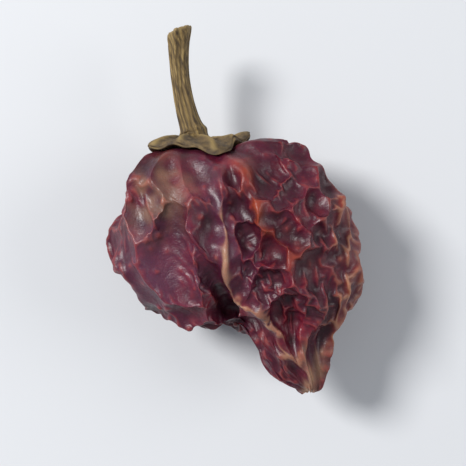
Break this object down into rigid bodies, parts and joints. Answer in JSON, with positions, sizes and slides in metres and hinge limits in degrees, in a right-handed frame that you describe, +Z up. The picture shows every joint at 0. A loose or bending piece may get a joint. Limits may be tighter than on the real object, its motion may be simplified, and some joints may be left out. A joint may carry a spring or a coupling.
{
  "type": "dried trinidad moruga scorpion pepper",
  "caption": "Dried scorpion pepper: a lobed, wrinkled pod with a short pointed tail, a dry calyx and a short stem, lying on its side.",
  "frame": {"origin": "on the surface that the pod lies on, under the middle of its whole length and width", "axes": "+Z up, +Y along the pod from the tail to the stem, +X across the pod"},
  "size_m": [0.0288, 0.045, 0.0187],
  "materials": {
    "pod_skin": "dried, wrinkled pepper skin, dark maroon with brick red ridges, waxy and a little glossy",
    "dry_stem": "dry, fibrous calyx and stem, olive brown and matt"
  },
  "bodies": {
    "root": {"pod": "pod_skin", "calyx_stem": "dry_stem"}
  },
  "joints": []
}
